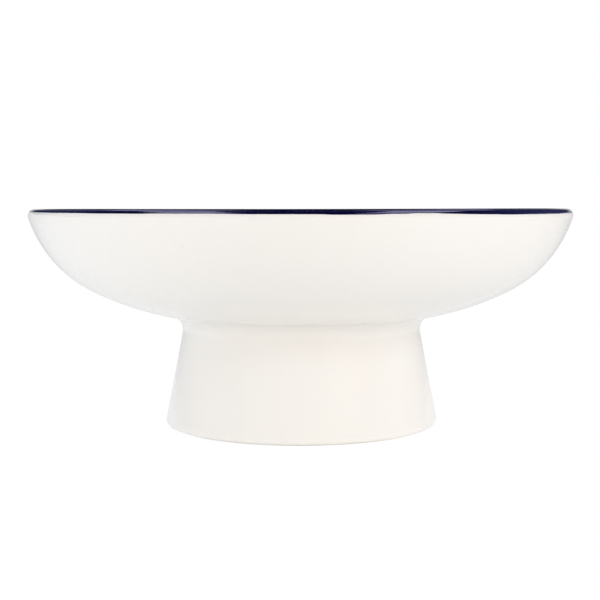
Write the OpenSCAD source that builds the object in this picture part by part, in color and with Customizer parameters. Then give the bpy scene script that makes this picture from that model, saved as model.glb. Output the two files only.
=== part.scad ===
// Footed compote bowl in glazed stoneware.
// A shallow bowl and a hollow pedestal are thrown apart and luted together with slip.
// White glaze covers both but for the dry ring that stands on the table, and navy glaze
// covers the lip. Every piece is turned about the upright axis. The origin is the middle
// of the base, on the table.

/* [Bowl] */
// Width across the lip
rim_diameter = 254; // [220:1:300]
// Height of the lip's top above the table
rim_height = 101.6; // [92:0.2:120]
// Thickness of the wall over its glaze, which the lip rounds off in a half circle
wall = 6; // [4:0.5:9]
// Lean of the wall just under the lip, in degrees from upright
lip_lean = 18; // [8:1:26]
// Lean at which the belly's arc runs into the flatter underside, in degrees from upright
belly_end = 63; // [57:1:68]

/* [Joint] */
// Width across the joint, where the cove runs out on the bowl's underside
joint_diameter = 124.6; // [116:0.2:134]
// Height of the underside above the table there
joint_height = 52; // [44:0.5:58]
// Rise of the underside there, in degrees from level
joint_slope = 10.5; // [7:0.5:14]
// Radius of the cove between the bowl and the outside of the pedestal
cove_radius = 7; // [4:0.5:10]
// Radius of the cove inside the hollow of the pedestal
inner_cove_radius = 5; // [3:0.5:8]
// Thickness of the bed of slip that joins the two
slip_thickness = 1; // [0.5:0.1:2]

/* [Pedestal] */
// Width across the base at its widest
base_diameter = 129.4; // [120:0.2:142]
// Thickness of the pedestal's wall over its glaze
foot_wall = 7.5; // [6.5:0.5:10]
// Radius of the base's outer edge over its glaze
base_edge_radius = 3; // [2:0.5:3.5]
// Radius of the base's inner edge over its glaze
inner_edge_radius = 1.5; // [1:0.5:2]

/* [Glaze] */
// Thickness of the white glaze and of the navy band
glaze_thickness = 0.4; // [0.2:0.1:0.8]
// Height above the table at which the glaze stops, wiped off the ring that stands there
dry_height = 0.4; // [0.2:0.1:0.6]
// How far the navy band comes down the outside of the lip, in degrees from its top
band_reach = 48; // [30:1:80]

/* [Smoothness] */
// Widest gap between a true arc and the flats that stand for it
arc_gap = 0.01; // [0.005:0.005:0.05]

/* [Hidden] */
$fn = 180;

// Directions round an arc's centre are degrees below level, outwards from the axis:
// 0 is outwards, 90 down, 180 inwards and 270 up.
function toward(fall) = [cos(fall), -sin(fall)];
function fall_of(v) = atan2(-v[1], v[0]);

// The lip is a half circle on the end of the wall
lip_radius = wall / 2;
lip_centre = [rim_diameter / 2 - lip_radius, rim_height - lip_radius];
lip_inner_fall = 180 + lip_lean;
band_outer_fall = 360 + band_reach - 90;

// The underside leaves the joint at this point, in this direction from its arc's centre
joint_point = [joint_diameter / 2, joint_height];
joint_fall = 90 - joint_slope;

// The belly's arc and the underside's arc together reach from the lip to the joint. Their
// chords are known in direction, which settles both radii.
belly_start = lip_centre + lip_radius * toward(lip_lean);
span = joint_point - belly_start;
belly_chord = toward(belly_end) - toward(lip_lean);
underside_chord = toward(joint_fall) - toward(belly_end);
chord_cross = cross(belly_chord, underside_chord);
belly_radius = cross(span, underside_chord) / chord_cross;
underside_radius = cross(belly_chord, span) / chord_cross;
belly_centre = belly_start - belly_radius * toward(lip_lean);
underside_centre = joint_point - underside_radius * toward(joint_fall);

// The floor over the pedestal is a shallow dome about a centre on the axis
floor_radius = joint_point[0] / sin(joint_slope);
floor_centre = joint_point - floor_radius * toward(joint_fall);

// The pedestal's straight side touches the cove and the round of the base's outer edge
cove_centre = joint_point + cove_radius * toward(joint_fall);
edge_centre = [base_diameter / 2 - base_edge_radius, base_edge_radius - glaze_thickness];
edge_to_cove = cove_centre - edge_centre;
foot_lean = -fall_of(edge_to_cove) - acos((cove_radius + base_edge_radius) / norm(edge_to_cove));
outward = toward(-foot_lean);
upward = toward(270 - foot_lean);

// The hollow's straight side lies one wall inside it
hollow_side = edge_centre * outward + base_edge_radius - foot_wall;
inner_edge_height = inner_edge_radius - glaze_thickness;
inner_edge_centre = [
    (hollow_side + inner_edge_radius - inner_edge_height * outward[1]) / outward[0],
    inner_edge_height
];

// The glaze stops at the same height on both edges of the base, so many degrees below level
outer_stop = asin((edge_centre[1] - dry_height) / base_edge_radius);
inner_stop = asin((inner_edge_height - dry_height) / inner_edge_radius);

// The inner cove touches the hollow's side and the dome of the floor
inner_cove_side = hollow_side - inner_cove_radius;
inner_cove_reach = floor_radius + inner_cove_radius;
inner_cove_rise = floor_centre * upward
    - sqrt(pow(inner_cove_reach, 2) - pow(inner_cove_side - floor_centre * outward, 2));
inner_cove_centre = inner_cove_side * outward + inner_cove_rise * upward;
inner_joint_fall = fall_of(inner_cove_centre - floor_centre);

// The bed of slip lies between the bowl and this arc about the floor's centre. Each cove
// turns this far from the underside before it crosses the arc.
seat_shift = slip_thickness - glaze_thickness;
function turn_to_seat(radius) =
    let(reach = floor_radius + radius)
    let(clay_radius = radius + glaze_thickness)
    acos((pow(reach, 2) + pow(clay_radius, 2) - pow(floor_radius + seat_shift, 2))
        / (2 * reach * clay_radius));
outer_seat_fall = 180 + joint_fall - turn_to_seat(cove_radius);
inner_seat_fall = 180 + inner_joint_fall + turn_to_seat(inner_cove_radius);

// Points of an arc, with as many flats as its own radius needs. The shift moves the whole
// arc in or out, and leaves the count of its points as it is, so that neighbours fit.
function arc(centre, radius, shift, from, to) =
    let(flat_turn = 2 * acos(1 - arc_gap / radius))
    let(flats = ceil(abs(to - from) / flat_turn))
    [for (i = [0 : flats]) centre + (radius + shift) * toward(from + (to - from) * i / flats)];

// Runs of points joined end to start, each shared point kept once
function joined(runs) = [for (k = [0 : len(runs) - 1])
    for (i = [(k == 0 ? 0 : 1) : len(runs[k]) - 1]) runs[k][i]];
function reversed(points) = [for (i = [len(points) - 1 : -1 : 0]) points[i]];
function straight(run, next_run) = [run[len(run) - 1], next_run[0]];

// The runs that make up the outline, each at a depth under the finished surface
function dome(depth) = arc(floor_centre, floor_radius, -depth, 90, inner_joint_fall);
function land(depth) = arc(floor_centre, floor_radius, -depth, inner_joint_fall, joint_fall);
function underside(depth) =
    arc(underside_centre, underside_radius, -depth, joint_fall, belly_end);
function belly(depth) = arc(belly_centre, belly_radius, -depth, belly_end, lip_lean);
function lip_outside(depth) =
    arc(lip_centre, lip_radius, -depth, 360 + lip_lean, band_outer_fall);
function lip_top(depth) = arc(lip_centre, lip_radius, -depth, band_outer_fall, lip_inner_fall);
function inside(depth) = joined([
    arc(belly_centre, belly_radius - wall, depth, lip_lean, belly_end),
    arc(underside_centre, underside_radius - wall, depth, belly_end, joint_fall),
    arc(floor_centre, floor_radius - wall, depth, joint_fall, 90)
]);
function cove_on_slip(depth) =
    arc(cove_centre, cove_radius, depth, 180 + joint_fall, outer_seat_fall);
function cove_on_foot(depth) =
    arc(cove_centre, cove_radius, depth, outer_seat_fall, 180 - foot_lean);
function outer_edge(depth) =
    arc(edge_centre, base_edge_radius, -depth, -foot_lean, outer_stop);
function outer_dry_edge(depth) = arc(edge_centre, base_edge_radius, -depth, outer_stop, 90);
function inner_dry_edge(depth) =
    arc(inner_edge_centre, inner_edge_radius, -depth, 90, 180 - inner_stop);
function inner_edge(depth) =
    arc(inner_edge_centre, inner_edge_radius, -depth, 180 - inner_stop, 180 - foot_lean);
function inner_cove_on_foot(depth) =
    arc(inner_cove_centre, inner_cove_radius, depth, 360 - foot_lean, inner_seat_fall);
function inner_cove_on_slip(depth) =
    arc(inner_cove_centre, inner_cove_radius, depth, inner_seat_fall, 180 + inner_joint_fall);
function seat() = let(outer_end = cove_on_foot(glaze_thickness)[0] - floor_centre)
    let(inner_end = inner_cove_on_slip(glaze_thickness)[0] - floor_centre)
    arc(floor_centre, floor_radius, seat_shift, fall_of(inner_end), fall_of(outer_end));

module turned(outline) {
    rotate_extrude() polygon(outline);
}

// A coat of glaze fills the space between its finished face and the clay under it
module coat(face, clay) {
    turned(concat(face, reversed(clay)));
}

// The bowl is one wall, swept along three arcs that touch, with a half round on its end
module bowl_body() {
    color("wheat") turned(joined([
        dome(glaze_thickness),
        land(glaze_thickness),
        underside(glaze_thickness),
        belly(glaze_thickness),
        lip_outside(glaze_thickness),
        lip_top(glaze_thickness),
        inside(glaze_thickness)
    ]));
}

// The pedestal flares out under the bowl into a seat cut to the dome of its floor
module pedestal_foot() {
    cove = cove_on_foot(glaze_thickness);
    edge = outer_edge(glaze_thickness);
    dry_edge = outer_dry_edge(glaze_thickness);
    inner_dry = inner_dry_edge(glaze_thickness);
    hollow_edge = inner_edge(glaze_thickness);
    hollow_cove = inner_cove_on_foot(glaze_thickness);
    color("wheat") turned(joined([
        seat(), cove, straight(cove, edge), edge, dry_edge, straight(dry_edge, inner_dry),
        inner_dry, hollow_edge, straight(hollow_edge, hollow_cove), hollow_cove
    ]));
}

// Slip fills the seat and feathers out into both coves
module luting_slip() {
    color("burlywood") turned(joined([
        land(glaze_thickness),
        cove_on_slip(glaze_thickness),
        reversed(seat()),
        inner_cove_on_slip(glaze_thickness)
    ]));
}

module inside_glaze() {
    color("ivory") coat(inside(0), inside(glaze_thickness));
}

function outside(depth) = joined([
    reversed(lip_outside(depth)),
    reversed(belly(depth)),
    reversed(underside(depth)),
    cove_on_slip(depth),
    cove_on_foot(depth),
    straight(cove_on_foot(depth), outer_edge(depth)),
    outer_edge(depth)
]);

module outside_glaze() {
    color("ivory") coat(outside(0), outside(glaze_thickness));
}

function hollow(depth) = joined([
    dome(depth),
    reversed(inner_cove_on_slip(depth)),
    reversed(inner_cove_on_foot(depth)),
    straight(reversed(inner_cove_on_foot(depth)), reversed(inner_edge(depth))),
    reversed(inner_edge(depth))
]);

module underside_glaze() {
    color("ivory") coat(hollow(0), hollow(glaze_thickness));
}

module rim_band() {
    color("midnightblue") coat(lip_top(0), lip_top(glaze_thickness));
}

bowl_body();
pedestal_foot();
luting_slip();
inside_glaze();
outside_glaze();
underside_glaze();
rim_band();
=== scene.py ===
# %% [markdown]
# A footed compote bowl: a shallow stoneware bowl luted to a hollow pedestal, in a glossy
# cream-white glaze, with a line of navy glaze painted over the lip.
# Every piece of it was turned on a wheel. So this lesson draws half of each piece's outline, as a
# potter's rib would be cut, and lets one Geometry Nodes tree turn every outline about the axis.
# The solid model of the bowl is loaded first. It fixes the sizes, and nothing in it is moved.

# %% Load the solid model
import math

import bmesh
import bpy
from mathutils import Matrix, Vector


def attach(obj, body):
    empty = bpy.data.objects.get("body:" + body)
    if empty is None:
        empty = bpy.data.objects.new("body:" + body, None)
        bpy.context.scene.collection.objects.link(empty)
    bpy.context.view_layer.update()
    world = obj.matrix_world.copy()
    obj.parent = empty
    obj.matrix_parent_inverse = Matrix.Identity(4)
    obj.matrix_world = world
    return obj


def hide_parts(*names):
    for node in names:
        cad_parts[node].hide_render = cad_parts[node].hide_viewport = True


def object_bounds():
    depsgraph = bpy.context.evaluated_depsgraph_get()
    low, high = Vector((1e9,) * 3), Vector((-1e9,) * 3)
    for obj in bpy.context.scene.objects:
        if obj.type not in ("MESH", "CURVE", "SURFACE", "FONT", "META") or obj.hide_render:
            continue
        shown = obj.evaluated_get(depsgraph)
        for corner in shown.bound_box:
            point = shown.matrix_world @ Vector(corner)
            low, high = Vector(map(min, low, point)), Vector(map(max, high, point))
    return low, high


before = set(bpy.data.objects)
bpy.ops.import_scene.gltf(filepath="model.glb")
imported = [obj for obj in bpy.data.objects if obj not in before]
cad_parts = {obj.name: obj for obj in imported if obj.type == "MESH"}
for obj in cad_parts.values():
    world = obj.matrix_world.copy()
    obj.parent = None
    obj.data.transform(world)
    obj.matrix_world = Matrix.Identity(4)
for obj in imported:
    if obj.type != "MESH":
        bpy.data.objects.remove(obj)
solid_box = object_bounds()
print("solid model from", tuple(solid_box[0]), "to", tuple(solid_box[1]))

# %% [markdown]
# The driving sizes are those of the solid model, so that each finished face lies where the model
# has it. Lengths are written in millimetres and turned into metres here, once. Angles are in
# degrees. The widest radius and the height come from the model itself.
# The round of the lip gives way to the belly at `lip_lean` below level, and the belly to the
# flatter underside at `belly_end`. The underside meets the pedestal at `joint`, where it slopes by
# `joint_slope`. The navy comes down to `band_reach` past the top of the lip.

# %% Sizes
MM = 0.001

rim_radius = solid_box[1].x
rim_height = solid_box[1].z
base_radius = 64.7 * MM
wall = 6 * MM
glaze = 0.4 * MM
slip = 1 * MM

lip_lean = 18
belly_end = 63
joint = Vector((62.3, 52)) * MM
joint_slope = 10.5
cove_radius = 7 * MM
inner_cove_radius = 5 * MM

foot_wall = 7.5 * MM
base_edge_radius = 3 * MM
inner_edge_radius = 1.5 * MM
dry_height = 0.4 * MM
band_reach = 48

print("lip", rim_radius / MM, "mm from the axis and", rim_height / MM, "mm above the table")

# %% [markdown]
# The outline is made of arcs that touch each other, as a turner's template is. Directions round an
# arc's centre are degrees below level: 0 points away from the axis, 90 down and 270 up.

# %% Directions
def toward(fall):
    """The direction that falls that many degrees below level."""
    turn = math.radians(fall)
    return Vector((math.cos(turn), -math.sin(turn)))


def fall_of(way):
    """How many degrees below level a direction falls."""
    return math.degrees(math.atan2(-way.y, way.x))


def cross(a, b):
    """The size of the area that two directions span, positive where b is to the left of a."""
    return a.x * b.y - a.y * b.x


print("straight down is", round(fall_of(Vector((0, -1)))), "degrees below level")

# %% [markdown]
# Working out the centres from a few known points keeps the joins between arcs smooth, and a smooth
# join matters in a glossy glaze, where a kink of one degree shows as a broken reflection. The belly
# and the underside together lead from the lip to the joint. That gives two equations, one for
# across and one for down, from which their two radii follow.

# %% Arcs of the bowl
lip_radius = wall / 2
lip_centre = Vector((rim_radius - lip_radius, rim_height - lip_radius))
band_outer_fall = 270 + band_reach
band_inner_fall = 180 + lip_lean
joint_fall = 90 - joint_slope

belly_start = lip_centre + lip_radius * toward(lip_lean)
span = joint - belly_start
belly_chord = toward(belly_end) - toward(lip_lean)
underside_chord = toward(joint_fall) - toward(belly_end)
belly_radius = cross(span, underside_chord) / cross(belly_chord, underside_chord)
underside_radius = cross(belly_chord, span) / cross(belly_chord, underside_chord)
belly_centre = belly_start - belly_radius * toward(lip_lean)
underside_centre = joint - underside_radius * toward(joint_fall)
floor_radius = joint.x / math.sin(math.radians(joint_slope))
floor_centre = joint - floor_radius * toward(joint_fall)
print("belly arc", round(belly_radius / MM, 2), "mm, underside arc",
      round(underside_radius / MM, 2), "mm")

# %% [markdown]
# The pedestal's side is a straight line between two rounds, the cove at its top and the edge of its
# base. So the way it leans follows from where their centres lie. The side of the hollow is the same
# line, a wall further in, and ends in a smaller cove. Inside and out, glaze stops at `dry_height`.

# %% Arcs of the pedestal
cove_centre = joint + cove_radius * toward(joint_fall)
edge_centre = Vector((base_radius - base_edge_radius, base_edge_radius - glaze))
edge_to_cove = cove_centre - edge_centre
foot_turn = math.degrees(math.acos((cove_radius + base_edge_radius) / edge_to_cove.length))
foot_lean = -fall_of(edge_to_cove) - foot_turn
outward = toward(-foot_lean)
upward = toward(270 - foot_lean)

outer_stop = math.degrees(math.asin((edge_centre.y - dry_height) / base_edge_radius))
hollow_side = edge_centre.dot(outward) + base_edge_radius - foot_wall
inner_edge_height = inner_edge_radius - glaze
inner_edge_run = (hollow_side + inner_edge_radius - inner_edge_height * outward.y) / outward.x
inner_edge_centre = Vector((inner_edge_run, inner_edge_height))
inner_stop = math.degrees(math.asin((inner_edge_height - dry_height) / inner_edge_radius))

inner_cove_side = hollow_side - inner_cove_radius
inner_cove_reach = floor_radius + inner_cove_radius
inner_cove_gap = inner_cove_side - floor_centre.dot(outward)
inner_cove_rise = floor_centre.dot(upward) - math.sqrt(inner_cove_reach**2 - inner_cove_gap**2)
inner_cove_centre = inner_cove_side * outward + inner_cove_rise * upward
inner_joint_fall = fall_of(inner_cove_centre - floor_centre)

print("the pedestal leans", round(foot_lean, 2), "degrees")

# %% [markdown]
# An outline is a ring of points in the plane of one cut through the clay, with x away from the
# axis and y up. These helpers make its round stretches and join them, with a point about every
# millimetre where the surface shows and fewer where it is hidden.

# %% Outline points
FACE_STEP = 1.1 * MM
HIDDEN_STEP = 3 * MM
FEWEST_FLATS = 6
TOUCHING = MM / 10


def arc(centre, radius, start, end, step=FACE_STEP):
    """Points of an arc from one direction to another, about one step apart."""
    length = abs(math.radians(end - start)) * radius
    flats = max(FEWEST_FLATS, math.ceil(length / step))
    return [centre + radius * toward(start + (end - start) * i / flats) for i in range(flats + 1)]


def joined(runs, step=FACE_STEP):
    """Runs of points end to end, with more points in a straight stretch between two runs."""
    points = list(runs[0])
    for run in runs[1:]:
        start = points[-1]
        gap = run[0] - start
        flats = max(1, round(gap.length / step))
        points += [start + gap * i / flats for i in range(1, flats)]
        points += run if gap.length > TOUCHING else run[1:]
    return points


def smooth(share):
    """Rises smoothly from 0 to 1 as the share does."""
    share = min(max(share, 0.0), 1.0)
    return share * share * (3 - 2 * share)


print("the top of the lip has", len(arc(lip_centre, lip_radius, 180, 360)), "points")

# %% [markdown]
# Each face below runs along the finished surface at a given depth. At depth 0 it is the glaze that
# you touch, and at the glaze's thickness it is the clay under it. The same function gives both, so
# a coat of glaze has the same thickness everywhere. The white runs a little way under the navy.

# %% Faces of the bowl and the pedestal
OVERLAP = 7
EDGE_SHARE = 0.12


def inside_face(depth, step=FACE_STEP):
    """From the middle of the floor, up the wall and a little way under the navy line."""
    return joined([
        arc(floor_centre, floor_radius - wall + depth, 90, joint_fall, step),
        arc(underside_centre, underside_radius - wall + depth, joint_fall, belly_end, step),
        arc(belly_centre, belly_radius - wall + depth, belly_end, lip_lean, step),
        arc(lip_centre, lip_radius - depth, band_inner_fall, band_inner_fall + OVERLAP, step),
    ], step)


def outside_face(depth, step=FACE_STEP):
    """From under the navy line, down the bowl, round the cove and down to the base's edge."""
    return joined([
        arc(lip_centre, lip_radius - depth, band_outer_fall - OVERLAP, 360 + lip_lean, step),
        arc(belly_centre, belly_radius - depth, lip_lean, belly_end, step),
        arc(underside_centre, underside_radius - depth, belly_end, joint_fall, step),
        arc(cove_centre, cove_radius + depth, 180 + joint_fall, 180 - foot_lean, step),
        arc(edge_centre, base_edge_radius - depth, -foot_lean, outer_stop, step * EDGE_SHARE),
    ], step)


def hollow_face(depth, step=FACE_STEP):
    """From the middle of the floor's underside, round the inner cove and down to the inner edge."""
    cove_start = 180 + inner_joint_fall
    return joined([
        arc(floor_centre, floor_radius - depth, 90, inner_joint_fall, step),
        arc(inner_cove_centre, inner_cove_radius + depth, cove_start, 360 - foot_lean, step),
        arc(inner_edge_centre, inner_edge_radius - depth, 180 - foot_lean, 180 - inner_stop,
            step * EDGE_SHARE),
    ], step)


print("the outside face has", len(outside_face(0)), "points")

# %% [markdown]
# Glaze never ends in a square step. It melts, draws back and leaves a low round edge, so at a dry
# edge the coat's face curves down to the clay. Each point carries what the glaze does there:
# `swell`, which way and how freely the surface may swell, `stray`, which way its edge may stray,
# `round`, how a strayed edge bends so as to stay on a round lip, `body`, from -1 where the glaze is
# thin to 1 round a cove, where it has pooled and where it is painted paler as painted light against
# the crease's shade, and `run`, the way along it.
# They become attributes of the mesh, for the tree and the materials.

# %% Coats of glaze
ROLL = 0.6 * MM
FADE = 5 * MM
THIN_REACH = 2.5 * MM
# How far round a cove the white is painted paler: pooled glaze, and painted light against the
# crease's shade.
POOL_AND_LIGHT_REACH = 22 * MM
FLAT = Vector((0, 0))
STILL = {"swell": FLAT, "stray": FLAT, "round": FLAT, "body": 0.0, "run": 0.0}


def way_at(points, i):
    """The direction in which a run of points goes at one of them."""
    return (points[min(i + 1, len(points) - 1)] - points[max(i - 1, 0)]).normalized()


def lengths(points):
    """How far along a run each of its points lies."""
    runs = [0.0]
    for a, b in zip(points, points[1:]):
        runs.append(runs[-1] + (b - a).length)
    return runs


def coat(face_at, side, dry, pool_and_light_centre=None):
    """The outline of a coat. Its clay lies to the left (1) or the right (-1) of the face's run."""
    face = face_at(0)
    clay = face_at(glaze, HIDDEN_STEP)
    runs = lengths(face)
    rows = []
    for i, point in enumerate(face):
        way = way_at(face, i)
        to_clay = Vector((-way.y, way.x)) * side
        to_end = runs[-1] - runs[i]
        rolled = min(max(1 - to_end / ROLL, 0.0), 1.0) if dry else 0.0
        drop = glaze * (1 - math.sqrt(1 - rolled**2))
        near_end = smooth(1 - to_end / FADE) if dry else 0.0
        thin = smooth(1 - to_end / THIN_REACH) if dry else 0.0
        # Near the cove the white is paler: partly pooled glaze, partly painted light that lifts the
        # shade in the crease.
        pool_and_light = smooth(1 - (point - pool_and_light_centre).length / POOL_AND_LIGHT_REACH) if pool_and_light_centre else 0.0
        still = smooth(runs[i] / FADE) * smooth(to_end / FADE)
        rows.append({"point": point + to_clay * drop, "swell": -to_clay * still, "round": FLAT,
                     "stray": way * near_end, "body": pool_and_light - thin, "run": runs[i]})
    under = clay[-2::-1] if dry else clay[::-1]
    return rows + [dict(STILL, point=point, run=runs[-1]) for point in under]


print("the outside coat has", len(coat(outside_face, -1, dry=True)), "points")

# %% [markdown]
# The navy line is brushed over the lip while the bowl turns. It is a band of its own that starts
# just inside the white, rises to a low bead where the glaze gathers, and lies thinner over the top.
# Its two edges may stray, because no hand holds a brush quite still. A straight shift would lift a
# strayed edge off the round lip, by the square of the shift over the lip's width: `round` takes
# that off again. Under each edge the band dips below the white glaze, and that dip strays with it.

# %% The navy band's outline
BAND_STEPS = 72
EDGE_LAP = 6
EDGE_SINK = 0.03 * MM
BEAD_RISE = 0.08 * MM
CREST_RISE = 0.06 * MM
BEAD_PLACE = 0.4 * MM
BEAD_END = 1.3 * MM
STRAY_REACH = 0.9 * MM
THIN_EDGE = 0.35 * MM
SEAT_STEP = 2
SEAT_SINK = 2 * EDGE_SINK


def band_rise(inset):
    """How far the band stands over the lip's round, at some way in from its edge."""
    climb = smooth(inset / BEAD_PLACE)
    settle = smooth((inset - BEAD_PLACE) / (BEAD_END - BEAD_PLACE))
    return -EDGE_SINK + climb * (EDGE_SINK + BEAD_RISE) - settle * (BEAD_RISE - CREST_RISE)


def band_outline():
    """Over the lip from the outer edge to the inner one, and back along the clay."""
    start = band_outer_fall + EDGE_LAP
    end = band_inner_fall - EDGE_LAP
    width = math.radians(start - end) * lip_radius
    rows = []
    for i in range(BAND_STEPS + 1):
        fall = start + (end - start) * i / BAND_STEPS
        from_start = width * i / BAND_STEPS
        inset = min(from_start, width - from_start)
        toward_edge = 1 if from_start < width / 2 else -1
        loose = smooth(1 - inset / STRAY_REACH)
        rows.append({"point": lip_centre + (lip_radius + band_rise(inset)) * toward(fall),
                     "swell": toward(fall) * smooth(inset / BEAD_END),
                     "stray": toward(fall + 90) * toward_edge * loose,
                     "round": -toward(fall) * loose**2 / (2 * lip_radius),
                     "body": -smooth(1 - inset / THIN_EDGE), "run": from_start})
    under_end = dict(rows[-1], swell=FLAT, body=0.0)
    under_start = dict(under_end, stray=rows[0]["stray"], round=rows[0]["round"])
    hidden = dict(under_end, stray=FLAT, round=FLAT)

    shallow = lip_radius - SEAT_SINK
    seat_start = band_inner_fall + OVERLAP + SEAT_STEP
    seat_end = band_outer_fall - OVERLAP - SEAT_STEP
    seat = [
        lip_centre + shallow * toward(seat_start),
        *arc(lip_centre, lip_radius - glaze, seat_start, seat_end, HIDDEN_STEP),
        lip_centre + shallow * toward(seat_end),
    ]
    rows.append(dict(under_end, point=lip_centre + shallow * toward(end)))
    rows += [dict(hidden, point=point) for point in seat]
    rows.append(dict(under_start, point=lip_centre + shallow * toward(start)))
    return rows


print("the navy band has", len(band_outline()), "points")

# %% [markdown]
# The pedestal's clay shows only in the ring that it stands on, which is wiped clean of glaze so
# that it doesn't stick to the kiln's shelf. Its whole outline is drawn all the same, because a
# piece has to be a closed solid.

# %% The pedestal's outline
seat_radius = floor_radius + slip - glaze


def turn_to_seat(radius):
    """How far a cove of that radius turns away from the bowl before its clay meets the seat."""
    reach = floor_radius + radius
    clay_radius = radius + glaze
    sides = reach**2 + clay_radius**2 - seat_radius**2
    return math.degrees(math.acos(sides / (2 * reach * clay_radius)))


def foot_outline():
    """From the seat down the outside, across the base and up the hollow."""
    cove_top = 180 + joint_fall - turn_to_seat(cove_radius)
    inner_cove_top = 180 + inner_joint_fall + turn_to_seat(inner_cove_radius)
    cove = arc(cove_centre, cove_radius + glaze, cove_top, 180 - foot_lean, HIDDEN_STEP)
    inner_cove = arc(inner_cove_centre, inner_cove_radius + glaze, 360 - foot_lean, inner_cove_top,
                     HIDDEN_STEP)
    seat = arc(floor_centre, seat_radius, fall_of(inner_cove[-1] - floor_centre),
               fall_of(cove[0] - floor_centre), HIDDEN_STEP)
    edge_step = FACE_STEP / 3
    points = joined([
        seat[1:-1],
        cove,
        arc(edge_centre, base_edge_radius - glaze, -foot_lean, 90, edge_step),
        arc(inner_edge_centre, inner_edge_radius - glaze, 90, 180 - foot_lean, edge_step),
        inner_cove,
    ])
    return [dict(STILL, point=point) for point in points]


print("the pedestal has", len(foot_outline()), "points")

# %% [markdown]
# A turned piece starts as a mesh of loose points and edges, the outline, with its attributes.
# Blender needs the outline to run clockwise for the faces to point outwards, so its signed area is
# measured, and the outline is turned round if need be.

# %% Outline to mesh
def signed_area(points):
    return sum(cross(a, b) for a, b in zip(points, points[1:] + points[:1])) / 2


def in_space(way):
    """A direction in the plane of the cut as one in space, with z up."""
    return (way.x, 0.0, way.y)


def outline_object(name, rows):
    """A mesh object of the outline's points and edges, with their attributes."""
    if signed_area([row["point"] for row in rows]) > 0:
        rows = rows[::-1]
    mesh = bpy.data.meshes.new(name)
    edges = [(i, i + 1) for i in range(len(rows) - 1)]
    mesh.from_pydata([in_space(row["point"]) for row in rows], edges, [])
    for key in ("swell", "stray", "round"):
        layer = mesh.attributes.new(key, "FLOAT_VECTOR", "POINT")
        for item, row in zip(layer.data, rows):
            item.vector = in_space(row[key])
    for key in ("body", "run"):
        layer = mesh.attributes.new(key, "FLOAT", "POINT")
        for item, row in zip(layer.data, rows):
            item.value = row[key]
    piece = bpy.data.objects.new(name, mesh)
    bpy.context.scene.collection.objects.link(piece)
    return piece


band_cut = abs(signed_area([row["point"] for row in band_outline()]))
print("the navy band's cut covers", round(band_cut / MM**2, 2), "mm2")

# %% [markdown]
# Node trees are easier to read when sums are written as sums. `Wire` wraps one socket, and adding
# or multiplying wires adds the Math nodes.

# %% Sums of sockets
class Wire:
    """An output socket that can be used in sums."""

    def __init__(self, tree, socket):
        self.tree = tree
        self.socket = socket

    def maths(self, operation, *others):
        values = dict(enumerate((self,) + others))
        return self.tree.add("ShaderNodeMath", {"operation": operation}, values)

    def __add__(self, other):
        return self.maths("ADD", other)

    def __radd__(self, other):
        return self.maths("ADD", other)

    def __sub__(self, other):
        return self.maths("SUBTRACT", other)

    def __rsub__(self, other):
        return self.tree.add("ShaderNodeMath", {"operation": "SUBTRACT"}, {0: other, 1: self})

    def __mul__(self, other):
        return self.maths("MULTIPLY", other)

    def __rmul__(self, other):
        return self.maths("MULTIPLY", other)

    def __truediv__(self, other):
        return self.maths("DIVIDE", other)

    def __rtruediv__(self, other):
        return self.tree.add("ShaderNodeMath", {"operation": "DIVIDE"}, {0: other, 1: self})

    def output(self, name):
        """Another output of the same node."""
        return Wire(self.tree, self.socket.node.outputs[name])


print("a wire can be added to, taken from, multiplied and divided")

# %% [markdown]
# `Tree.add` makes every other node: its settings first, then the values or wires of its sockets.
# Both the geometry and the materials use it.

# %% Adding nodes
class Tree:
    """A node tree, and the one way in which nodes are added to it."""

    COLUMN = 190

    def __init__(self, group):
        self.group = group

    def feed(self, socket, value):
        if isinstance(value, Wire):
            self.group.links.new(value.socket, socket)
        else:
            socket.default_value = value

    def add(self, kind, settings=None, inputs=None, output=0):
        node = self.group.nodes.new(kind)
        node.location.x = self.COLUMN * len(self.group.nodes)
        for name, value in (settings or {}).items():
            setattr(node, name, value)
        for name, value in (inputs or {}).items():
            self.feed(node.inputs[name], value)
        return Wire(self, node.outputs[output]) if len(node.outputs) else node


print("nodes are laid out", Tree.COLUMN, "apart")

# %% [markdown]
# A Math node works on one number and would turn a colour grey or drop two parts of a place. So
# places and directions have helpers of their own, and so has a number that goes smoothly from one
# value to another, which keeps every fade free of a hard edge.

# %% Vectors and fades
def scaled(tree, vector, amount):
    """A vector times a number."""
    return tree.add("ShaderNodeVectorMath", {"operation": "SCALE"},
                    {"Vector": vector, "Scale": amount})


def summed(tree, a, b):
    """The sum of two vectors."""
    return tree.add("ShaderNodeVectorMath", {"operation": "ADD"}, {0: a, 1: b})


def length_of(tree, vector):
    return tree.add("ShaderNodeVectorMath", {"operation": "LENGTH"}, {0: vector}, "Value")


def turned(tree, vector, angle):
    """A place in the plane of the cut, turned about the axis."""
    return tree.add("ShaderNodeVectorRotate", {"rotation_type": "Z_AXIS"},
                    {"Vector": vector, "Angle": angle})


def eased(tree, value, start, end, first=0.0, last=1.0):
    """Goes smoothly from first to last as the value goes from start to end."""
    return tree.add("ShaderNodeMapRange", {"interpolation_type": "SMOOTHSTEP"}, {
        "Value": value, "From Min": start, "From Max": end, "To Min": first, "To Max": last})


print("vectors can be scaled, summed, measured and turned")

# %% [markdown]
# The turning tree starts with its inputs, and with the value that each has where a piece gives
# none. The lip is lifted by a few tenths of a millimetre to the left and a little more to the
# right, because a wide bowl warps in the kiln. A brush leaves marks: each one widens or narrows the
# band round one place.

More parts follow.
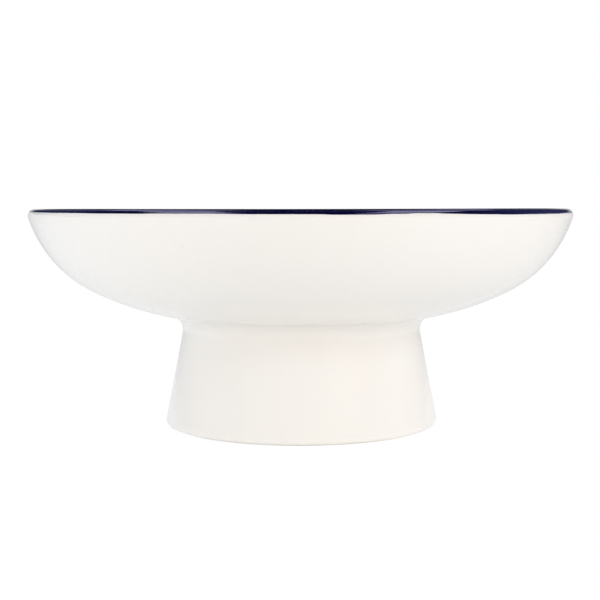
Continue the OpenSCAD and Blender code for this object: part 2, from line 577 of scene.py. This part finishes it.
# %% Inputs of the turning tree
STEPS_ROUND = 384
INPUTS = [
    ("Steps round", "NodeSocketInt", STEPS_ROUND),
    ("Closed", "NodeSocketInt", 1),
    ("Ring depth", "NodeSocketFloat", 0.0),
    ("Ring pitch", "NodeSocketFloat", 7 * MM),
    ("Swell depth", "NodeSocketFloat", 0.03 * MM),
    ("Swell size", "NodeSocketFloat", 22 * MM),
    ("Edge stray", "NodeSocketFloat", 0.0),
    ("Strays round", "NodeSocketFloat", 3.0),
    ("Seed", "NodeSocketFloat", 1.0),
    ("Lip lift", "NodeSocketFloat", 0.5 * MM),
    ("Lip tilt", "NodeSocketFloat", 0.15 * MM),
    ("Lift starts", "NodeSocketFloat", 70 * MM),
    ("Lift ends", "NodeSocketFloat", rim_height),
    ("Sharp above", "NodeSocketFloat", math.radians(40)),
    ("Material", "NodeSocketMaterial", None),
]
MARKS = (1, 2, 3, 4)
for mark in MARKS:
    INPUTS += [
        (f"Mark {mark} place", "NodeSocketFloat", 0.0),
        (f"Mark {mark} reach", "NodeSocketFloat", math.radians(10)),
        (f"Mark {mark} width", "NodeSocketFloat", 0.0),
    ]


def turning_group():
    """A node group with these inputs, and with geometry in and out."""
    group = bpy.data.node_groups.new("Turned piece", "GeometryNodeTree")
    for side in ("INPUT", "OUTPUT"):
        group.interface.new_socket("Geometry", in_out=side, socket_type="NodeSocketGeometry")
    for name, kind, start in INPUTS:
        socket = group.interface.new_socket(name, in_out="INPUT", socket_type=kind)
        if start is not None:
            socket.default_value = start
    return group


print("the turning tree has", len(INPUTS), "inputs")

# %% [markdown]
# The tree lays out a flat grid with one column of points for each point of the outline and one row
# for each step round the wheel. Then it looks up where each grid point belongs on the outline.
# A Screw modifier would turn the outline too, but can't read the attributes.

# %% Outline on a grid
FULL_TURN = 2 * math.pi


def laid_out(tree, outline):
    """The grid, the angle of each of its points, and a way to look things up on the outline."""
    count = tree.add("GeometryNodeAttributeDomainSize", {"component": "MESH"},
                     {"Geometry": outline})
    columns = count + outline.output("Closed")
    grid = tree.add("GeometryNodeMeshGrid", {}, {
        "Size X": 1.0, "Size Y": 1.0,
        "Vertices X": columns, "Vertices Y": outline.output("Steps round") + 1})
    place = tree.add("GeometryNodeInputPosition")
    spot = tree.add("ShaderNodeSeparateXYZ", {}, {"Vector": place})
    column = ((spot + 0.5) * (columns - 1)).maths("ROUND").maths("MODULO", count)
    angle = (spot.output("Y") + 0.5) * FULL_TURN

    def looked_up(source, kind="FLOAT_VECTOR"):
        return tree.add("GeometryNodeSampleIndex", {"data_type": kind, "domain": "POINT"},
                        {"Geometry": outline, "Value": source, "Index": column})

    return grid, angle, looked_up


print("a step round is", round(FULL_TURN * rim_radius / STEPS_ROUND / MM, 2), "mm at the lip")

# %% [markdown]
# No coat of glaze is quite even. A noise that depends on the place makes the surface swell by
# hundredths of a millimetre, as glaze does when it settles, and faint rings from the wheel wind
# out from the middle. A second noise makes the edges stray from a true circle, and so do the
# brush's marks. Noise is used, not random steps, because a wet surface has no sudden changes.

# %% Swell, stray and lift
NOISE_DETAIL = 1.0
STRAY_SEED = 7.0
MARK_FULL = 0.38


def noise_at(tree, vector, seed):
    """A smooth noise from -1 to 1."""
    return (tree.add("ShaderNodeTexNoise", {"noise_dimensions": "4D"}, {
        "Vector": vector, "W": seed, "Scale": 1.0, "Detail": NOISE_DETAIL}) - 0.5) * 2


def swell_at(tree, given, place, run, angle):
    """How far the surface stands out, by the swell of the glaze and the rings of the wheel."""
    pitches = run / given("Ring pitch")
    rings = (pitches * FULL_TURN + angle).maths("SINE") * pitches.maths("MINIMUM", 1.0)
    settled = noise_at(tree, scaled(tree, place, 1 / given("Swell size")), given("Seed"))
    return settled * given("Swell depth") + rings * given("Ring depth")


def stray_at(tree, given, angle):
    """How far an edge strays, by the sway of the hand and the marks of the brush."""
    way = tree.add("ShaderNodeCombineXYZ", {}, {"X": given("Strays round")})
    sway = noise_at(tree, turned(tree, way, angle), given("Seed") + STRAY_SEED)
    stray = sway * given("Edge stray")
    for mark in MARKS:
        reach = given(f"Mark {mark} reach")
        nearness = (angle - given(f"Mark {mark} place")).maths("COSINE")
        bump = eased(tree, nearness, reach.maths("COSINE"), (reach * MARK_FULL).maths("COSINE"))
        stray = stray + bump * given(f"Mark {mark} width")
    return stray


def lift_at(tree, given, point, angle):
    """How far the lip is lifted, most to the left and the right and not at all in front."""
    height = tree.add("ShaderNodeSeparateXYZ", {}, {"Vector": point}, "Z")
    lifted = eased(tree, height, given("Lift starts"), given("Lift ends"))
    sideways = angle.maths("COSINE")
    rise = lifted * sideways * (sideways * given("Lip lift") + given("Lip tilt"))
    return tree.add("ShaderNodeCombineXYZ", {}, {"Z": rise})


print("a mark is at its full width over", MARK_FULL, "of its reach")

# %% [markdown]
# The tree itself moves each point of the grid to its place on the outline and turns it there about
# the axis. Merging the doubled points closes the seam and the poles. The `body` attribute is handed
# on for the materials, and edges with a sharp bend are left sharp.

# %% The turning tree
MERGE = 0.001 * MM


def closed_up(tree, given, shape):
    """Closes the seam and the poles, and gives the piece its creases and its material."""
    shape = tree.add("GeometryNodeMergeByDistance", {}, {"Geometry": shape, "Distance": MERGE})
    bend = tree.add("GeometryNodeInputMeshEdgeAngle")
    crease = tree.add("FunctionNodeCompare", {"data_type": "FLOAT", "operation": "GREATER_THAN"},
                      {"A": bend, "B": given("Sharp above")})
    shape = tree.add("GeometryNodeSetShadeSmooth", {"domain": "EDGE"},
                     {"Geometry": shape, "Selection": crease, "Shade Smooth": False})
    shape = tree.add("GeometryNodeRealizeInstances", {}, {"Geometry": shape})
    return tree.add("GeometryNodeSetMaterial", {},
                    {"Geometry": shape, "Material": given("Material")})


def turning_tree():
    group = turning_group()
    tree = Tree(group)
    outline = tree.add("NodeGroupInput")
    given = outline.output
    grid, angle, looked_up = laid_out(tree, outline)

    def attribute(name, kind="FLOAT_VECTOR"):
        named = tree.add("GeometryNodeInputNamedAttribute", {"data_type": kind}, {"Name": name})
        return looked_up(named, kind)

    point = looked_up(tree.add("GeometryNodeInputPosition"))
    place = turned(tree, point, angle)
    rise = swell_at(tree, given, place, attribute("run", "FLOAT"), angle)
    stray = stray_at(tree, given, angle)
    swollen = scaled(tree, attribute("swell"), rise)
    strayed = scaled(tree, attribute("stray"), stray)
    rounded = scaled(tree, attribute("round"), stray * stray)
    cut = summed(tree, summed(tree, point, swollen), summed(tree, strayed, rounded))
    lifted = summed(tree, turned(tree, cut, angle), lift_at(tree, given, point, angle))

    shape = tree.add("GeometryNodeSetPosition", {}, {"Geometry": grid, "Position": lifted})
    shape = tree.add("GeometryNodeStoreNamedAttribute", {"data_type": "FLOAT", "domain": "POINT"},
                     {"Geometry": shape, "Name": "body", "Value": attribute("body", "FLOAT")})
    tree.add("NodeGroupOutput", {}, {"Geometry": closed_up(tree, given, shape)})
    return group


turned_piece = turning_tree()
print("the turning tree has", len(turned_piece.nodes), "nodes")

# %% [markdown]
# Turning an outline: the tree goes on as a modifier, its inputs are set by identifier, because two
# inputs may share a name, and the evaluated result is kept as a plain mesh. The volume that the
# faces enclose is printed: it is positive only if they point outwards. A closed piece has no open
# edges.

# %% Turning a piece
def enclosed(mesh):
    """The volume inside a mesh's faces, and how many of its edges are open."""
    work = bmesh.new()
    work.from_mesh(mesh)
    volume = work.calc_volume(signed=True)
    loose = sum(1 for edge in work.edges if not edge.is_manifold)
    work.free()
    return volume, loose


def turn(name, rows, values):
    """Turns an outline into a solid piece, with the tree's inputs at these values."""
    piece = outline_object(name, rows)
    modifier = piece.modifiers.new("Turned piece", "NODES")
    modifier.node_group = turned_piece
    for item in turned_piece.interface.items_tree:
        if item.in_out == "INPUT" and item.name in values:
            modifier[item.identifier] = values[item.name]
    seen = piece.evaluated_get(bpy.context.evaluated_depsgraph_get())
    outline = piece.data
    piece.data = bpy.data.meshes.new_from_object(seen)
    piece.modifiers.clear()
    bpy.data.meshes.remove(outline)
    volume, loose = enclosed(piece.data)
    print(name, len(piece.data.polygons), "faces,", round(volume / MM**3), "mm3,", loose,
          "open edges")
    return piece


print("pieces are turned in", STEPS_ROUND, "steps")

# %% [markdown]
# Every material is a tree of nodes as well. Its patterns are read from Object coordinates, which
# hold still when the camera moves. Numbers that are the same all over sit on the shader's own
# sockets, because a value that reaches some of those sockets through a link is lost when the
# finished bowl is exported.

# %% Helpers for materials
PLAIN_DETAIL = 2.0


def new_material(name):
    made = bpy.data.materials.new(name)
    made.use_nodes = True
    made.node_tree.nodes.clear()
    return made, Tree(made.node_tree)


def mixed(tree, share, a, b):
    """A colour that goes from a to b as the share goes from 0 to 1."""
    return tree.add("ShaderNodeMix", {"data_type": "RGBA"}, {"Factor": share, 6: a, 7: b}, 2)


def own_place(tree):
    """Where a point lies on the piece itself."""
    return tree.add("ShaderNodeTexCoord", output="Object")


def fine_noise(tree, scale, detail=PLAIN_DETAIL):
    return tree.add("ShaderNodeTexNoise", {},
                    {"Vector": own_place(tree), "Scale": scale, "Detail": detail})


def scattered(tree, scale, size, rarity):
    """1 in dots that lie here and there, and 0 between them."""
    cell = tree.add("ShaderNodeTexVoronoi", {}, {"Vector": own_place(tree), "Scale": scale})
    pick = tree.add("ShaderNodeSeparateColor", {}, {"Color": cell.output("Color")})
    return cell.maths("LESS_THAN", size) * pick.maths("GREATER_THAN", rarity)


def bumped(tree, height, distance):
    return tree.add("ShaderNodeBump", {}, {"Height": height, "Distance": distance})


def surface(tree, colour, roughness, normal, **fixed):
    """The shader and the material's output. Values that don't vary sit on their own sockets."""
    inputs = {"Base Color": colour, "Roughness": roughness, "Normal": normal}
    inputs.update({name.replace("_", " "): value for name, value in fixed.items()})
    shader = tree.add("ShaderNodeBsdfPrincipled", {}, inputs)
    tree.add("ShaderNodeOutputMaterial", {}, {"Surface": shader})


print("noise has a detail of", PLAIN_DETAIL, "where none is given")

# %% [markdown]
# The white glaze is a milky glass over pale clay. Where it is thin, at the edge of the base, the
# clay warms it. Round the coves it is paler, partly because it has pooled there and partly as
# painted light that lifts the shade in the crease. A broad, faint mottling keeps it from looking
# like paint, and so do a few faint specks of iron from the clay. A fine bump bends the reflections
# as fired glaze does.

# %% White glaze
CREAM = (0.842, 0.834, 0.803, 1)
WARM_CREAM = (0.85, 0.83, 0.787, 1)
THIN_CREAM = (0.79, 0.75, 0.68, 1)
# The paler white of the coves: pooled glaze, and painted light that lifts the shade under the bowl.
POOL_AND_LIGHT_CREAM = (0.92, 0.915, 0.88, 1)
SPECK_BROWN = (0.42, 0.31, 0.2, 1)
MOTTLE_SCALE = 16
SPECK_SCALE = 110
SPECK_SIZE = 0.05
SPECK_RARITY = 0.86
SPECK_STRENGTH = 0.15
PEEL_SCALE = 260
PEEL_DEPTH = 0.012 * MM
THIN_SHARE = 0.8
WHITE_ROUGHNESS = 0.07
MOTTLE_ROUGHNESS = 0.04
THIN_ROUGHNESS = 0.15
WHITE_IOR = 1.5


def white_glaze():
    made, tree = new_material("White glaze")
    body = tree.add("ShaderNodeAttribute", {"attribute_name": "body"}, output="Fac")
    mottle = fine_noise(tree, MOTTLE_SCALE)
    thin = (0 - body).maths("MAXIMUM", 0.0)
    pool_and_light = body.maths("MAXIMUM", 0.0)
    colour = mixed(tree, mottle, CREAM, WARM_CREAM)
    # Painted light in part: the coves are made paler against their shade.
    colour = mixed(tree, pool_and_light, colour, POOL_AND_LIGHT_CREAM)
    colour = mixed(tree, thin * THIN_SHARE, colour, THIN_CREAM)
    speck = scattered(tree, SPECK_SCALE, SPECK_SIZE, SPECK_RARITY)
    colour = mixed(tree, speck * SPECK_STRENGTH, colour, SPECK_BROWN)
    roughness = WHITE_ROUGHNESS + MOTTLE_ROUGHNESS * mottle + THIN_ROUGHNESS * thin
    normal = bumped(tree, fine_noise(tree, PEEL_SCALE), PEEL_DEPTH)
    surface(tree, colour, roughness, normal, IOR=WHITE_IOR)
    return made


white = white_glaze()
print("made", white.name, "with", len(white.node_tree.nodes), "nodes")

# %% [markdown]
# Navy glaze is nearly black where it lies thick and blue where the brush left it thin: along its
# edges and between the hairs. Toward the left and right, as the camera sees the lip, it is painted
# a
# paler blue: a painted sheen of the slanted view, where the glaze mirrors more. The streaks run
# round the lip, so the noise is stretched that way: it changes slowly with the direction from the
# axis and fast with the place across the lip. The glaze tints what it mirrors a little violet.

# %% Navy glaze
NAVY = (0.0008, 0.0006, 0.021, 1)
STREAK_NAVY = (0.002, 0.002, 0.036, 1)
# Painted sheen: the paler blue toward the left and right of the lip as seen from the front.
SIDE_SHEEN_NAVY = (0.03, 0.036, 0.12, 1)
THIN_NAVY = (0.06, 0.075, 0.2, 1)
SIDE_START = 0.15
SIDE_END = 0.95
NAVY_TINT = (0.6, 0.58, 1, 1)
STREAKS_ROUND = 5
STREAKS_ACROSS = 900
NAVY_PEEL_DEPTH = PEEL_DEPTH / 2
SHEEN_LEAST = 0.7
SHEEN_STREAKS = 0.6
EDGE_LEAST = 0.6
EDGE_STREAKS = 0.8
NAVY_ROUGHNESS = 0.06
STREAK_ROUGHNESS = 0.05
NAVY_IOR = 1.6


def navy_glaze():
    made, tree = new_material("Navy glaze")
    body = tree.add("ShaderNodeAttribute", {"attribute_name": "body"}, output="Fac")
    spot = tree.add("ShaderNodeSeparateXYZ", {}, {"Vector": own_place(tree)})
    flat = tree.add("ShaderNodeCombineXYZ", {}, {"X": spot, "Y": spot.output("Y")})
    upright = tree.add("ShaderNodeCombineXYZ", {}, {"Z": spot.output("Z") * STREAKS_ACROSS})
    streak_place = summed(tree, scaled(tree, flat, STREAKS_ROUND / rim_radius), upright)
    streaks = tree.add("ShaderNodeTexNoise", {"noise_dimensions": "4D"}, {
        "Vector": streak_place, "W": length_of(tree, flat) * STREAKS_ACROSS, "Scale": 1.0,
        "Detail": PLAIN_DETAIL})
    thin = (0 - body).maths("MAXIMUM", 0.0)
    aside = spot * spot / (rim_radius * rim_radius)
    # Paler toward the left and right as the camera sees them: a painted sheen, streaked like the
    # glaze.
    side_sheen = eased(tree, aside, SIDE_START, SIDE_END) * (SHEEN_LEAST + SHEEN_STREAKS * streaks)
    thin_edge = thin * (EDGE_LEAST + EDGE_STREAKS * streaks)
    colour = mixed(tree, streaks, NAVY, STREAK_NAVY)
    colour = mixed(tree, side_sheen, colour, SIDE_SHEEN_NAVY)
    colour = mixed(tree, thin_edge.maths("MINIMUM", 1.0), colour, THIN_NAVY)
    roughness = NAVY_ROUGHNESS + STREAK_ROUGHNESS * streaks
    normal = bumped(tree, streaks + fine_noise(tree, PEEL_SCALE), NAVY_PEEL_DEPTH)
    surface(tree, colour, roughness, normal, IOR=NAVY_IOR, Specular_Tint=NAVY_TINT)
    return made


navy = navy_glaze()
print("made", navy.name, "with", len(navy.node_tree.nodes), "nodes")

# %% [markdown]
# Bare fired clay is matt and gritty. A soft noise gives it its cloudy colour, brown dots are the
# grains of sand that a wiped ring shows, and a noise as fine as the grains drives the bump. The
# slip that joins bowl and pedestal is clay thinned with water, a little darker once fired.

# %% Fired clay and slip
CLAY_DARK = (0.75, 0.71, 0.635, 1)
CLAY_PALE = (0.81, 0.77, 0.705, 1)
GRAIN_BROWN = (0.50, 0.42, 0.33, 1)
SLIP_DARK = (0.71, 0.67, 0.60, 1)
SLIP_PALE = (0.77, 0.73, 0.66, 1)
CLOUD_SCALE = 60
CLOUD_DETAIL = 4.0
GRAIN_SCALE = 900
GRIT_DETAIL = 3.0
GRAIN_DEPTH = 0.05 * MM
GRAIN_SIZE = 0.28
GRAIN_RARITY = 0.7
GRAIN_STRENGTH = 0.4
CLAY_ROUGHNESS = 0.8
CLOUD_SMOOTHING = 0.15


def fired_clay(name, dark, pale):
    made, tree = new_material(name)
    cloud = fine_noise(tree, CLOUD_SCALE, CLOUD_DETAIL)
    grain = scattered(tree, GRAIN_SCALE, GRAIN_SIZE, GRAIN_RARITY)
    colour = mixed(tree, cloud, dark, pale)
    colour = mixed(tree, grain * GRAIN_STRENGTH, colour, GRAIN_BROWN)
    grit = fine_noise(tree, GRAIN_SCALE, GRIT_DETAIL)
    roughness = CLAY_ROUGHNESS - CLOUD_SMOOTHING * cloud
    surface(tree, colour, roughness, bumped(tree, grit, GRAIN_DEPTH))
    return made


clay = fired_clay("Fired clay", CLAY_DARK, CLAY_PALE)
slip_clay = fired_clay("Fired slip", SLIP_DARK, SLIP_PALE)
print("made", clay.name, "and", slip_clay.name)

# %% [markdown]
# Now the pieces themselves. The inside of the bowl keeps faint rings from the wheel, which wind out
# from the middle, and the outside was trimmed smooth. The dry edges stray by a few tenths of a
# millimetre, as a wiped edge does. The outlines that start on the axis are open there, because the
# axis closes them.
# The navy line has four marks of the brush, as the photograph shows them: it is broad at the front
# right, where the stroke went over its own start, and thinner or broader at three places in front.

# %% Turned pieces
BRUSH_MARKS = [
    (-30, 37, 0.77),
    (-110, 11, -0.25),
    (-80.5, 6.5, 0.22),
    (-67.8, 3.8, -0.33),
]


def brush_marks():
    """The tree's inputs for marks given as degrees round the lip, degrees of reach and mm."""
    values = {}
    for mark, (place, reach, width) in zip(MARKS, BRUSH_MARKS):
        values[f"Mark {mark} place"] = math.radians(place)
        values[f"Mark {mark} reach"] = math.radians(reach)
        values[f"Mark {mark} width"] = width * MM
    return values


glaze_inside = turn("glaze_inside", coat(inside_face, -1, dry=False), {
    "Closed": 0, "Ring depth": 0.02 * MM, "Swell depth": 0.03 * MM, "Seed": 1.0, "Material": white})
# Round the joint and in the hollow's cove the white is painted paler: partly pooled glaze, partly
# painted light against the shade.
glaze_outside = turn("glaze_outside", coat(outside_face, -1, dry=True, pool_and_light_centre=joint), {
    "Edge stray": 0.3 * MM, "Strays round": 4.0, "Seed": 2.0, "Material": white})
inner_joint = floor_centre + floor_radius * toward(inner_joint_fall)
glaze_hollow = turn("glaze_hollow", coat(hollow_face, 1, dry=True, pool_and_light_centre=inner_joint), {
    "Closed": 0, "Swell depth": 0.05 * MM, "Edge stray": 0.3 * MM, "Strays round": 4.0, "Seed": 3.0,
    "Material": white})
navy_line = turn("navy_line", band_outline(), {
    "Swell depth": 0.01 * MM, "Swell size": 9 * MM, "Edge stray": 0.15 * MM, "Strays round": 5.0,
    "Seed": 4.0, "Material": navy, **brush_marks()})
foot_clay = turn("foot_clay", foot_outline(), {"Swell depth": 0.0, "Material": clay})

# %% [markdown]
# Each new piece takes the place of one node of the solid model and rides on the model's one body.
# The bowl's clay and the slip stay hidden under the glaze, so they only get their materials.

# %% Pieces on the frame
PLACES = [
    (glaze_inside, "inside_glaze", "white_glaze"),
    (glaze_outside, "outside_glaze", "white_glaze"),
    (glaze_hollow, "underside_glaze", "white_glaze"),
    (navy_line, "rim_band", "navy_glaze"),
    (foot_clay, "pedestal_foot", "clay"),
]
for piece, node, slot in PLACES:
    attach(piece, "root")
    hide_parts(node)

for node, made in (("bowl_body", clay), ("luting_slip", slip_clay)):
    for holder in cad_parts[node].material_slots:
        holder.material = made
    print(node, "now has", made.name)

# %% [markdown]
# The bowl stands on a white table in a light, even studio. A floor that is only painted white goes
# grey wherever the light falls off. So its material shows the camera plain white, and lets through
# a share of the real lit floor, which keeps the bowl's soft shadow. Reflections find it a little
# darker than white, and darker still far away, so that the bowl's turned-away sides are not lost
# against the background. It glows a little, as a light table does, which lifts the shade under the
# bowl. From below the floor is clear, so that the underside can be looked at.

# %% The floor's material
SHOWN_SHARE = 0.88
SHOWN_WHITE = 1.045
GLOW = (0.85, 0.95, 1, 1)
GLOW_STRENGTH = 0.14
MIRRORED_NEAR = (0.92, 0.92, 0.92, 1)
MIRRORED_FAR = (0.58, 0.58, 0.58, 1)
NEAR = 0.15
FAR = 0.7
WHITE = (1, 1, 1, 1)
FLOOR_WHITE = (0.95, 0.95, 0.95, 1)


def ray_kinds(tree):
    """Whether a ray comes from the camera or through glass, and whether it is a mirrored one."""
    path = tree.add("ShaderNodeLightPath", output="Is Camera Ray")
    direct = path.maths("MAXIMUM", path.output("Is Transmission Ray"))
    return direct, path.output("Is Glossy Ray")


def floor_material():
    made, tree = new_material("White floor")
    direct, mirrored = ray_kinds(tree)
    lit = tree.add("ShaderNodeBsdfDiffuse", {}, {"Color": FLOOR_WHITE})
    away = length_of(tree, own_place(tree))
    far = tree.add("ShaderNodeMapRange", {}, {"Value": away, "From Min": NEAR, "From Max": FAR})
    found = mixed(tree, mirrored, WHITE, mixed(tree, far, MIRRORED_NEAR, MIRRORED_FAR))
    plain = tree.add("ShaderNodeEmission", {}, {
        "Color": found, "Strength": 1 + direct * (SHOWN_WHITE - 1)})
    glow = tree.add("ShaderNodeEmission", {}, {"Color": GLOW, "Strength": GLOW_STRENGTH})
    glowing = tree.add("ShaderNodeAddShader", {}, {0: lit, 1: glow})
    share = direct.maths("MAXIMUM", mirrored) * SHOWN_SHARE
    top = tree.add("ShaderNodeMixShader", {}, {0: share, 1: glowing, 2: plain})
    clear = tree.add("ShaderNodeBsdfTransparent")
    below = tree.add("ShaderNodeNewGeometry", output="Backfacing")
    both = tree.add("ShaderNodeMixShader", {}, {0: below, 1: top, 2: clear})
    tree.add("ShaderNodeOutputMaterial", {}, {"Surface": both})
    return made


floor_white = floor_material()
print("the floor shows the camera a white of", SHOWN_WHITE)

# %% [markdown]
# The floor is one wide square. It lies a hair below the dry ring that the bowl stands on, because
# two faces in the same place would fight for the same pixels.

# %% Floor
FLOOR_HALF = 6.0
FLOOR_DROP = 0.02 * MM

floor_mesh = bpy.data.meshes.new("floor")
corners = [(-1, -1), (1, -1), (1, 1), (-1, 1)]
points = [(x * FLOOR_HALF, y * FLOOR_HALF, -FLOOR_DROP) for x, y in corners]
floor_mesh.from_pydata(points, [], [(0, 1, 2, 3)])
floor_mesh.materials.append(floor_white)
floor = bpy.data.objects.new("floor", floor_mesh)
bpy.context.scene.collection.objects.link(floor)
print("the floor is", 2 * FLOOR_HALF, "m wide")

# %% [markdown]
# The world is the rest of the studio. The camera finds it white, and the clay finds it an even
# light from all round. Reflections find a pale wall near the level of the table, a pale front of
# the room behind the camera, and darkness overhead. Without that darkness the navy line would
# mirror white all round and look grey.

# %% World
AMBIENT = (0.605, 0.617, 0.64)
MIRRORED_WALL = 0.58
WALL_TOP = 0.11
WALL_END = 0.18
MIRRORED_FRONT = 0.6
FRONT_START = 0.35
FRONT_FULL = 0.8
DARK = (0.012, 0.012, 0.012, 1)


def studio_world():
    world = bpy.data.worlds.new("Studio")
    world.use_nodes = True
    world.node_tree.nodes.clear()
    tree = Tree(world.node_tree)
    way = tree.add("ShaderNodeTexCoord", output="Generated")
    spot = tree.add("ShaderNodeSeparateXYZ", {}, {"Vector": way})
    wall = eased(tree, spot.output("Z"), WALL_TOP, WALL_END, MIRRORED_WALL, 0.0)
    front = eased(tree, 0 - spot.output("Y"), FRONT_START, FRONT_FULL, 0.0, MIRRORED_FRONT)
    direct, mirrored = ray_kinds(tree)
    level = direct.maths("MAXIMUM", wall.maths("MAXIMUM", front))
    even = tree.add("ShaderNodeBackground", {}, {"Color": AMBIENT + (1,)})
    shown = tree.add("ShaderNodeBackground", {}, {"Color": mixed(tree, level, DARK, WHITE)})
    seen = direct.maths("MAXIMUM", mirrored)
    light = tree.add("ShaderNodeMixShader", {}, {0: seen, 1: even, 2: shown})
    tree.add("ShaderNodeOutputWorld", {}, {"Surface": light})
    return world


bpy.context.scene.world = studio_world()
print("the world is lit by", AMBIENT)

# %% [markdown]
# A lamp here either draws a reflection on the glaze or gives light, and not both, so that each can
# be set by itself. The strength of a softbox is how bright its face looks, where 1 is plain white.
# So a larger one takes more watts.

# %% Hanging a lamp
LAMP_WATTS = 4.0


def hung(data, place, aim, mirrored):
    """Hangs a lamp that is seen only in reflections, or else one that only gives light."""
    made = bpy.data.objects.new(data.name, data)
    made.location = place
    made.rotation_euler = (Vector(aim) - Vector(place)).to_track_quat("-Z", "Y").to_euler()
    made.visible_camera = False
    made.visible_glossy = mirrored
    made.visible_diffuse = not mirrored
    bpy.context.scene.collection.objects.link(made)


def softbox(name, place, aim, size, strength, colour, mirrored):
    data = bpy.data.lights.new(name, "AREA")
    data.shape = "RECTANGLE"
    data.size, data.size_y = size
    data.energy = strength * size[0] * size[1] * LAMP_WATTS
    data.color = colour
    hung(data, place, aim, mirrored)


print("a softbox of strength 1 has", LAMP_WATTS, "watts to the square metre")

# %% [markdown]
# Two long softboxes hang over the bowl, left and right, with a dark gap between them. They draw the
# two paler stretches on the navy line. Wide fill lights at the sides and in front model the white
# body, and don't show in reflections. Their faint tints are those of the photograph's own light.
# Each fill has its name, place, size, strength and colour.

# %% Strips and fills
STRIP_SIZE = (0.34, 2.0)
STRIP_X = 0.48
STRIP_Y = 0.4
STRIP_HEIGHT = 1.4
STRIP_STRENGTH = 2.1
STRIP_COLOUR = (0.79, 0.78, 1)
for side, aside in (("left", -STRIP_X), ("right", STRIP_X)):
    softbox(side + " strip", (aside, STRIP_Y, STRIP_HEIGHT), (aside, STRIP_Y, 0), STRIP_SIZE,
            STRIP_STRENGTH, STRIP_COLOUR, True)
middle = (0, 0, rim_height / 2)
FILLS = [
    ("left side fill", (-2.4, -0.6, 0.5), (1.2, 1.2), 2.75, (0.86, 0.88, 1)),
    ("right side fill", (2.4, -0.4, 0.8), (1.2, 1.2), 2.0, (1, 0.87, 0.74)),
    ("right front fill", (1.6, -2.0, 0.9), (1.6, 1.6), 1.75, (0.8, 0.84, 1)),
    ("low front fill", (0.0, -2.4, 0.25), (1.6, 0.3), 4.5, (1, 0.7, 0.28)),
]
for name, place, size, strength, colour in FILLS:
    softbox(name, place, middle, size, strength, colour, False)
print("two strips and", len(FILLS), "fills are hung")

# %% [markdown]
# The fills stand low and don't reach into the bowl. So a narrow beam from straight above lights the
# inside alone: at the lip's height it is a little narrower than the lip.

# %% Beam for the inside
BEAM_HEIGHT = 1.2
BEAM_SHARE = 0.95
BEAM_WATTS = 15
BEAM_BULB = 0.03
BEAM_BLEND = 0.5
beam = bpy.data.lights.new("inside beam", "SPOT")
beam.spot_size = 2 * math.atan(BEAM_SHARE * rim_radius / (BEAM_HEIGHT - rim_height))
beam.spot_blend = BEAM_BLEND
beam.shadow_soft_size = BEAM_BULB
beam.energy = BEAM_WATTS
hung(beam, (0, 0, BEAM_HEIGHT), (0, 0, 0), False)

# %% [markdown]
# The camera stands where the photograph was taken from: a little above the lip and looking slightly
# down, so that the lip shows as one flat line. Its place and lens were worked out from the outline.
# It looks a degree past the bowl, and the frame is shifted back, as where a photograph is trimmed
# more on one side than on the other.

# %% Camera
CAMERA_DISTANCE = 594 * MM
CAMERA_HEIGHT = 103.9 * MM
CAMERA_PITCH = 4.365
CAMERA_TURN = 0.95
FRAME_SIDE = 36
FRAME_SHIFT = -0.0025
LENS = 74.6

camera_data = bpy.data.cameras.new("Camera")
camera_data.lens = LENS
camera = bpy.data.objects.new("Camera", camera_data)
camera.location = (0, -CAMERA_DISTANCE, CAMERA_HEIGHT)
camera.rotation_euler = (math.radians(90 - CAMERA_PITCH), 0, math.radians(-CAMERA_TURN))
camera_data.shift_x = FRAME_SHIFT - math.tan(math.radians(CAMERA_TURN)) * LENS / FRAME_SIDE
bpy.context.scene.collection.objects.link(camera)
bpy.context.scene.camera = camera
bpy.context.scene.view_settings.view_transform = "Standard"
print("the camera stands", round(CAMERA_DISTANCE / MM), "mm from the axis")
